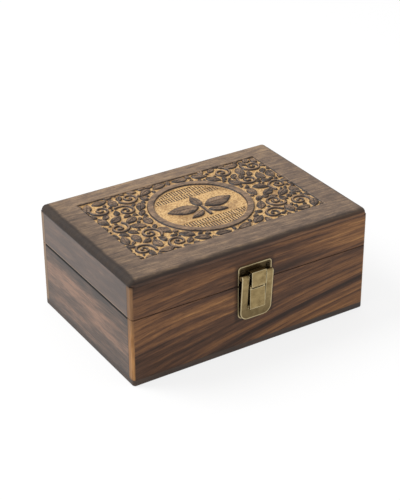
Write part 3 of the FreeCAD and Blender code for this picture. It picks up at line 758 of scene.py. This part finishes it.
def outline(part_along, side, inset):
    """A point on the lid's outline, drawn in by an inset.

    It is found from its side, 0 to 3, and how far along that side it lies."""
    lengths = (HALF_LENGTH - inset, HALF_DEPTH - inset)
    half, reach = lengths if side % 2 == 0 else lengths[::-1]
    round_off = max(LID_ROUND - inset, 0.2)
    place = (2 * part_along - 1) * half
    beyond = np.clip((np.abs(place) - (half - round_off)) / round_off, 0, 1) * math.pi / 4
    arc = (half - round_off) + round_off * np.sin(beyond)
    place = np.where(beyond > 0, np.sign(place) * arc, place)
    away = (reach - round_off) + round_off * np.cos(beyond)
    corner = {0: (place, -away), 1: (away, place), 2: (-place, away), 3: (-away, -place)}
    return np.stack(corner[side], -1)


def lid_loop(counts, inset, z):
    """A closed line of points round the lid at one height."""
    sides = [outline(np.linspace(0, 1, n)[:-1], side, inset) for side, n in enumerate(counts)]
    points = np.concatenate(sides)
    return np.column_stack([points, np.full(len(points), z)])


def lid_shell():
    """Points and faces of the carved board: the panel, its border, the round and the sides."""
    relief, heights = carve_lid()
    nx, ny = relief.x.shape
    heights[0, :] = heights[-1, :] = 0
    heights[:, 0] = heights[:, -1] = 0
    grid = np.stack([relief.x, relief.y + PANEL_SHIFT, heights + LID_FACE], -1).reshape(-1, 3)
    index = np.arange(nx * ny).reshape(nx, ny)
    rim = np.concatenate([index[:-1, 0], index[-1, :-1], index[:0:-1, -1], index[0, :0:-1]])
    counts = (nx, ny, nx, ny)
    loops = []
    for turn in np.linspace(math.pi / 2, 0, 11):
        inset = LID_ROUND * (1 - math.cos(turn))
        loops.append(lid_loop(counts, inset, LID_FACE + LID_ROUND * (math.sin(turn) - 1)))
    loops.append(lid_loop(counts, 0.0, LID_UNDER))
    border = grid[rim]
    rings = [border + (loops[0] - border) * part for part in (0.03, 0.25, 0.5, 0.75)] + loops
    count = len(rim)
    rows = [rim] + [nx * ny + count * k + np.arange(count) for k in range(len(rings))]
    quads = [index[:-1, :-1], index[1:, :-1], index[1:, 1:], index[:-1, 1:]]
    faces = np.stack(quads, -1).reshape(-1, 4).tolist()
    for inside, outside in zip(rows, rows[1:]):
        quads = [inside, outside, np.roll(outside, -1), np.roll(inside, -1)]
        faces += np.stack(quads, -1).tolist()
    faces.append(rows[-1][::-1].tolist())
    return np.concatenate([grid] + rings), faces


def lid_mesh():
    points, faces = lid_shell()
    mesh = bpy.data.meshes.new("carved_lid")
    mesh.from_pydata((points * MM).tolist(), [], faces)
    mesh.update()
    mesh.shade_smooth()
    mesh.polygons[len(faces) - 1].use_smooth = False
    made = bpy.data.objects.new("carved_lid", mesh)
    bpy.context.scene.collection.objects.link(made)
    return made


# Pieces

EDGE_WEAR = 0.00025
WELD_REACH = 0.00001
SHARP_EDGE = 40


def dress(names, *materials):
    for name in names:
        piece = nodes[name]
        piece.data.materials.clear()
        for material in materials:
            piece.data.materials.append(material)


def ease_edges(names):
    """Small worn chamfers on sharp metal edges, in the piece's second material, painted bright
    for wear and as a painted highlight.
    """
    for name in names:
        piece = nodes[name]
        weld = piece.modifiers.new("weld", "WELD")
        weld.merge_threshold = WELD_REACH
        bevel = piece.modifiers.new("bevel", "BEVEL")
        bevel.width = EDGE_WEAR
        bevel.segments = 2
        bevel.limit_method = "ANGLE"
        bevel.angle_limit = math.radians(SHARP_EDGE)
        bevel.harden_normals = True
        bevel.use_clamp_overlap = False
        bevel.material = 1


box_halves = ("base", "lid")
long_boards = [f"{half}_{side}_board" for half in box_halves for side in ("front", "back")]
side_boards = [f"{half}_{side}_board" for half in box_halves for side in ("left", "right")]
dress(long_boards, long_board_wood("scorched_long"))
dress(side_boards, side_board_wood("scorched_side"))
dress(["bottom_board"], bottom_wood("scorched_bottom"))
dress(["long_divider"], divider_wood("divider_long", True))
dress(["cross_divider_left", "cross_divider_right"], divider_wood("divider_cross", False))

lid = lid_mesh()
lid.data.materials.append(carved_wood("carved_top"))
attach(lid, "lid")
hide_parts("lid_top_board")

aged = (tint(116, 98, 64), tint(180, 158, 112), 0.32)
antique = brass("antique_brass_aged", *aged)
catch_brass = brass("antique_brass_catch", *aged, 0.85, (PLATE_HALF, PLATE_END, 0.003))
plate_brass = brass("antique_brass_plate", *aged, 0.85, (PLATE_HALF, PLATE_END, 0.005))
lever_brass = brass("antique_brass_lever", *aged, 0.6, (0.016, 0.0312, 0.0082))
# Bright brass on the chamfered edges: wear and a painted highlight.
rubbed = brass("antique_brass_worn_highlight", tint(206, 190, 148), tint(240, 228, 192), 0.24)
screw_metal = brass("screw_brass", tint(34, 29, 20), tint(76, 66, 46), 0.36)
plates = ["catch_plate", "latch_base_plate", "latch_lever", "latch_tongue"]
leaves = [f"hinge_{side}_{half}_leaf" for side in ("left", "right") for half in box_halves]
dress(["latch_tongue"] + leaves, antique, rubbed)
dress(["catch_plate"], catch_brass, rubbed)
dress(["latch_base_plate"], plate_brass, rubbed)
dress(["latch_lever"], lever_brass, rubbed)
ease_edges(plates + leaves)
dress(["tongue_pin", "lever_rivets", "hinge_left_pin", "hinge_right_pin"], antique)
screws = ["catch_screws", "latch_base_screws", "hinge_lid_screws", "hinge_base_screws"]
dress(screws, screw_metal)


# Floor, light and camera

FLOOR_HALF = 6.0
FLOOR_GLOW = 0.78
SKY = 0.8
KEY_PLACE = (-0.9, 0.7, 1.5)
KEY_TARGET = (0, 0, 0.03)
KEY_SIZE = 0.9
KEY_POWER = 22.0

# Camera: turns in degrees, lens and sensor in millimetres, places in metres.
AZIMUTH = -32.011
ELEVATION = 29.546
ROLL = -0.307
LENS = 101.556
SENSOR = 36.0
AIM_HEIGHT = 0.05108
DISTANCE = 1.27096
AIM_LEFT = 0.002257
AIM_UP = 0.004263


def floor():
    mesh = bpy.data.meshes.new("floor")
    corners = [(-1, -1), (1, -1), (1, 1), (-1, 1)]
    points = [(x * FLOOR_HALF, y * FLOOR_HALF, 0) for x, y in corners]
    mesh.from_pydata(points, [], [(0, 1, 2, 3)])
    made = bpy.data.objects.new("floor", mesh)
    bpy.context.scene.collection.objects.link(made)
    mesh.materials.append(floor_white())


def floor_white():
    """A white floor that keeps a faint shadow where it is seen."""
    shade = Shade("floor_white")
    shade.finish((0.9, 0.9, 0.9, 1.0), 0.9, specular=0.0)
    surface = shade.tree.nodes["Principled BSDF"]
    output = shade.tree.nodes["Material Output"]
    rays = shade.node("ShaderNodeLightPath").outputs
    seen = Wire(shade, rays["Is Camera Ray"])
    for kind in ("Is Glossy Ray", "Is Transmission Ray"):
        seen = seen.most(Wire(shade, rays[kind]))
    glow = shade.node("ShaderNodeEmission")
    blend = shade.node("ShaderNodeMixShader")
    shade.put(blend.inputs[0], seen * FLOOR_GLOW)
    shade.tree.links.new(surface.outputs[0], blend.inputs[1])
    shade.tree.links.new(glow.outputs[0], blend.inputs[2])
    shade.tree.links.new(blend.outputs[0], output.inputs[0])
    return shade.material


def studio():
    """Even white light from all round, and a soft round lamp behind on the left."""
    scene = bpy.context.scene
    world = bpy.data.worlds.new("studio")
    world.use_nodes = True
    sky = world.node_tree.nodes["Background"].inputs
    sky[0].default_value = (1.0, 1.0, 1.0, 1.0)
    sky[1].default_value = SKY
    scene.world = world
    data = bpy.data.lights.new("key", "AREA")
    data.shape = "DISK"
    data.size = KEY_SIZE
    data.energy = KEY_POWER
    made = bpy.data.objects.new("key", data)
    made.location = KEY_PLACE
    made.rotation_mode = "QUATERNION"
    toward = Vector(KEY_TARGET) - Vector(KEY_PLACE)
    made.rotation_quaternion = toward.to_track_quat("-Z", "Y")
    scene.collection.objects.link(made)
    scene.view_settings.view_transform = "Standard"


def camera():
    azimuth, elevation, roll = (math.radians(v) for v in (AZIMUTH, ELEVATION, ROLL))
    flat = math.cos(elevation)
    back = Vector((math.sin(azimuth) * flat, -math.cos(azimuth) * flat, math.sin(elevation)))
    level = Vector((math.cos(azimuth), math.sin(azimuth), 0))
    up = back.cross(level)
    right = level * math.cos(roll) + up * math.sin(roll)
    tall = up * math.cos(roll) - level * math.sin(roll)
    depth = (back + right * AIM_LEFT - tall * AIM_UP).normalized()
    right = tall.cross(depth).normalized()
    tall = depth.cross(right)
    data = bpy.data.cameras.new("camera")
    data.lens = LENS
    data.sensor_width = SENSOR
    made = bpy.data.objects.new("camera", data)
    turn = Matrix((right, tall, depth)).transposed().to_4x4()
    turn.translation = Vector((0, 0, AIM_HEIGHT)) + back * DISTANCE
    made.matrix_world = turn
    bpy.context.scene.collection.objects.link(made)
    bpy.context.scene.camera = made


floor()
studio()
camera()
